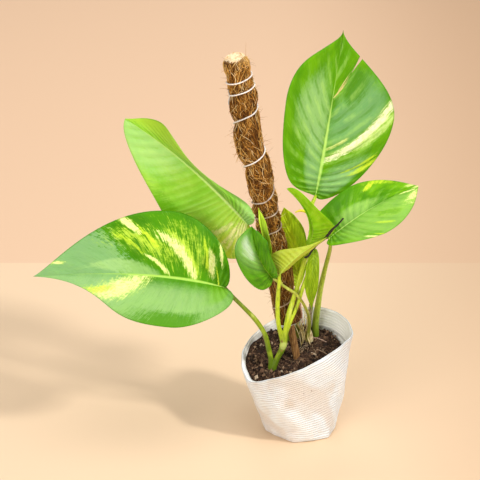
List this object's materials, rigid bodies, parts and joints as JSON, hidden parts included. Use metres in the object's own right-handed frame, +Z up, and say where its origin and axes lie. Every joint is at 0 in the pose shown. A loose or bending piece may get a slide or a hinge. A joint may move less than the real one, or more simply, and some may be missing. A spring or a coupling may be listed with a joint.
{
  "type": "potted climbing plant",
  "caption": "Potted climbing foliage plant with broad variegated leaves, trained up a leaning coir pole in a soft woven grow bag.",
  "frame": {"origin": "middle of the bag's flat bottom, on the surface that it stands on", "axes": "+Z up, -Y towards the viewer of the front, +X to the front view's right"},
  "size_m": [0.4231, 0.1477, 0.468],
  "materials": {
    "woven_bag": "woven plastic, matte",
    "soil": "damp potting mix",
    "bare_wood": "matte",
    "coir": "loose coconut fibre",
    "string": "matte",
    "stem": "smooth, satin",
    "leaf": "waxy, satin, variegated",
    "pale_leaf": "waxy, satin",
    "black_sheath": "withered",
    "dry_sheath": "papery"
  },
  "bodies": {
    "root": {"grow_bag": "woven_bag", "soil": "soil", "pole_stick": "bare_wood", "coir_wrap": "coir", "pole_string": "string", "vine_front": "stem", "petiole_right": "stem", "petiole_glossy": "stem", "stem_mottled": "stem", "petiole_upper_left": "stem", "leaf_left": "leaf", "leaf_top_right": "leaf", "leaf_right": "leaf", "leaf_front_glossy": "leaf", "leaf_upper_left": "pale_leaf", "leaf_folded_pale": "pale_leaf", "leaf_small_folded": "pale_leaf", "leaf_mottled": "pale_leaf", "leaf_hanging": "pale_leaf", "leaf_rolled_young": "pale_leaf", "sheath_black": "black_sheath", "sheath_dry_tall": "dry_sheath"}
  },
  "joints": []
}
